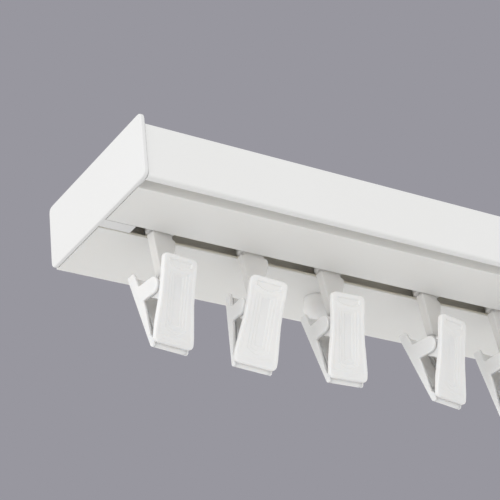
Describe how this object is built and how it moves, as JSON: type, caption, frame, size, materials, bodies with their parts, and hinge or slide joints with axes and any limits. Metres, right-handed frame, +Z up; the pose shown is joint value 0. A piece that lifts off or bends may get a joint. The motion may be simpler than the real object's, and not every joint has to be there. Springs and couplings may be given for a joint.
{
  "type": "curtain track with clip runners",
  "caption": "White ceiling curtain track: slotted profile with front fascia and end caps, gliders in the slot and sprung clips hanging from ball joints.",
  "frame": {"origin": "middle of the ceiling face, over the centre line of the running slot", "axes": "+X along the track away from the end cap seen in the picture, +Y to the rear wall, +Z up to the ceiling"},
  "size_m": [0.503, 0.0548, 0.0573],
  "materials": {
    "extrusion": "satin extruded white plastic",
    "fascia": "satin extruded white plastic",
    "cap": "moulded white plastic",
    "glider": "moulded slippery plastic, slightly translucent white",
    "clip": "moulded white plastic, soft gloss",
    "steel": "drawn steel pin",
    "spring_steel": "bright spring wire"
  },
  "bodies": {
    "track": {"track_profile": "extrusion", "fascia_profile": "fascia", "end_cap_left": "cap", "end_cap_right": "cap"},
    "glider_1_body": {"glider_1": "glider"},
    "clip_1_body": {"clip_front_arm_1": "clip", "clip_spring_1": "spring_steel"},
    "clip_1_rear_body": {"clip_rear_arm_1": "clip", "clip_pin_1": "steel"},
    "glider_2_body": {"glider_2": "glider"},
    "clip_2_body": {"clip_front_arm_2": "clip", "clip_spring_2": "spring_steel"},
    "clip_2_rear_body": {"clip_rear_arm_2": "clip", "clip_pin_2": "steel"},
    "glider_3_body": {"glider_3": "glider"},
    "clip_3_body": {"clip_front_arm_3": "clip", "clip_spring_3": "spring_steel"},
    "clip_3_rear_body": {"clip_rear_arm_3": "clip", "clip_pin_3": "steel"},
    "glider_4_body": {"glider_4": "glider"},
    "clip_4_body": {"clip_front_arm_4": "clip", "clip_spring_4": "spring_steel"},
    "clip_4_rear_body": {"clip_rear_arm_4": "clip", "clip_pin_4": "steel"},
    "glider_5_body": {"glider_5": "glider"},
    "clip_5_body": {"clip_front_arm_5": "clip", "clip_spring_5": "spring_steel"},
    "clip_5_rear_body": {"clip_rear_arm_5": "clip", "clip_pin_5": "steel"},
    "glider_6_body": {"glider_6": "glider"},
    "clip_6_body": {"clip_front_arm_6": "clip", "clip_spring_6": "spring_steel"},
    "clip_6_rear_body": {"clip_rear_arm_6": "clip", "clip_pin_6": "steel"},
    "glider_7_body": {"glider_7": "glider"},
    "clip_7_body": {"clip_front_arm_7": "clip", "clip_spring_7": "spring_steel"},
    "clip_7_rear_body": {"clip_rear_arm_7": "clip", "clip_pin_7": "steel"},
    "glider_8_body": {"glider_8": "glider"},
    "clip_8_body": {"clip_front_arm_8": "clip", "clip_spring_8": "spring_steel"},
    "clip_8_rear_body": {"clip_rear_arm_8": "clip", "clip_pin_8": "steel"}
  },
  "joints": [
    {"name": "glider_1_slide", "type": "slide", "parent": "track", "child": "glider_1_body", "axis": [1, 0, 0], "range_m": [-0.0034, 0.004]},
    {"name": "clip_1_swivel", "type": "hinge", "parent": "glider_1_body", "child": "clip_1_body", "pos_m": [-0.23207, -0.00021, -0.0365], "axis": [0, 0, 1], "range_deg": [-30, 30]},
    {"name": "clip_1_squeeze", "type": "hinge", "parent": "clip_1_body", "child": "clip_1_rear_body", "pos_m": [-0.23178, -0.00245, -0.04026], "axis": [0.9925, 0.1219, 0.0035], "range_deg": [0, 14], "stiffness_Nm_per_rad": 0.02, "springref_deg": -17.19, "deforming": ["clip_spring_1"]},
    {"name": "glider_2_slide", "type": "slide", "parent": "track", "child": "glider_2_body", "axis": [1, 0, 0], "range_m": [-0.004, 0.0025]},
    {"name": "clip_2_swivel", "type": "hinge", "parent": "glider_2_body", "child": "clip_2_body", "pos_m": [-0.2018, 0.00004, -0.0365], "axis": [0, 0, 1], "range_deg": [-30, 30]},
    {"name": "clip_2_squeeze", "type": "hinge", "parent": "clip_2_body", "child": "clip_2_rear_body", "pos_m": [-0.20247, -0.00182, -0.04042], "axis": [0.9878, -0.0951, -0.1236], "range_deg": [0, 14], "stiffness_Nm_per_rad": 0.02, "springref_deg": -17.19, "deforming": ["clip_spring_2"]},
    {"name": "glider_3_slide", "type": "slide", "parent": "track", "child": "glider_3_body", "axis": [1, 0, 0], "range_m": [-0.0025, 0.0075]},
    {"name": "clip_3_swivel", "type": "hinge", "parent": "glider_3_body", "child": "clip_3_body", "pos_m": [-0.17479, -0.00011, -0.0365], "axis": [0, 0, 1], "range_deg": [-30, 30]},
    {"name": "clip_3_squeeze", "type": "hinge", "parent": "clip_3_body", "child": "clip_3_rear_body", "pos_m": [-0.17471, -0.00244, -0.04022], "axis": [0.9996, -0.0087, 0.0279], "range_deg": [0, 14], "stiffness_Nm_per_rad": 0.02, "springref_deg": -17.19, "deforming": ["clip_spring_3"]},
    {"name": "glider_4_slide", "type": "slide", "parent": "track", "child": "glider_4_body", "axis": [1, 0, 0], "range_m": [-0.0075, 0.003]},
    {"name": "clip_4_swivel", "type": "hinge", "parent": "glider_4_body", "child": "clip_4_body", "pos_m": [-0.13847, -0.00022, -0.0365], "axis": [0, 0, 1], "range_deg": [-30, 30]},
    {"name": "clip_4_squeeze", "type": "hinge", "parent": "clip_4_body", "child": "clip_4_rear_body", "pos_m": [-0.13788, -0.00248, -0.04022], "axis": [0.976, 0.2164, 0.0244], "range_deg": [0, 14], "stiffness_Nm_per_rad": 0.02, "springref_deg": -17.19, "deforming": ["clip_spring_4"]},
    {"name": "glider_5_slide", "type": "slide", "parent": "track", "child": "glider_5_body", "axis": [1, 0, 0], "range_m": [-0.003, 0.004]},
    {"name": "clip_5_swivel", "type": "hinge", "parent": "glider_5_body", "child": "clip_5_body", "pos_m": [-0.1104, -0.00006, -0.0365], "axis": [0, 0, 1], "range_deg": [-30, 30]},
    {"name": "clip_5_squeeze", "type": "hinge", "parent": "clip_5_body", "child": "clip_5_rear_body", "pos_m": [-0.11039, -0.00222, -0.04032], "axis": [0.9992, 0.0349, -0.0175], "range_deg": [0, 14], "stiffness_Nm_per_rad": 0.02, "springref_deg": -17.19, "deforming": ["clip_spring_5"]},
    {"name": "glider_6_slide", "type": "slide", "parent": "track", "child": "glider_6_body", "axis": [1, 0, 0], "range_m": [-0.004, 0.004]},
    {"name": "clip_6_swivel", "type": "hinge", "parent": "glider_6_body", "child": "clip_6_body", "pos_m": [-0.0804, 0.00008, -0.0365], "axis": [0, 0, 1], "range_deg": [-30, 30]},
    {"name": "clip_6_squeeze", "type": "hinge", "parent": "clip_6_body", "child": "clip_6_rear_body", "pos_m": [-0.08044, -0.00205, -0.04034], "axis": [0.9985, -0.0523, 0.0175], "range_deg": [0, 14], "stiffness_Nm_per_rad": 0.02, "springref_deg": -17.19, "deforming": ["clip_spring_6"]},
    {"name": "glider_7_slide", "type": "slide", "parent": "track", "child": "glider_7_body", "axis": [1, 0, 0], "range_m": [-0.004, 0.004]},
    {"name": "clip_7_swivel", "type": "hinge", "parent": "glider_7_body", "child": "clip_7_body", "pos_m": [-0.05039, -0.00013, -0.0365], "axis": [0, 0, 1], "range_deg": [-30, 30]},
    {"name": "clip_7_squeeze", "type": "hinge", "parent": "clip_7_body", "child": "clip_7_rear_body", "pos_m": [-0.05038, -0.00239, -0.04026], "axis": [0.9996, 0.0262, -0.014], "range_deg": [0, 14], "stiffness_Nm_per_rad": 0.02, "springref_deg": -17.19, "deforming": ["clip_spring_7"]},
    {"name": "glider_8_slide", "type": "slide", "parent": "track", "child": "glider_8_body", "axis": [1, 0, 0], "range_m": [-0.004, 0.2544]},
    {"name": "clip_8_swivel", "type": "hinge", "parent": "glider_8_body", "child": "clip_8_body", "pos_m": [-0.0204, -0.00004, -0.0365], "axis": [0, 0, 1], "range_deg": [-30, 30]},
    {"name": "clip_8_squeeze", "type": "hinge", "parent": "clip_8_body", "child": "clip_8_rear_body", "pos_m": [-0.02056, -0.00224, -0.0403], "axis": [0.9992, -0.0349, -0.0209], "range_deg": [0, 14], "stiffness_Nm_per_rad": 0.02, "springref_deg": -17.19, "deforming": ["clip_spring_8"]}
  ]
}
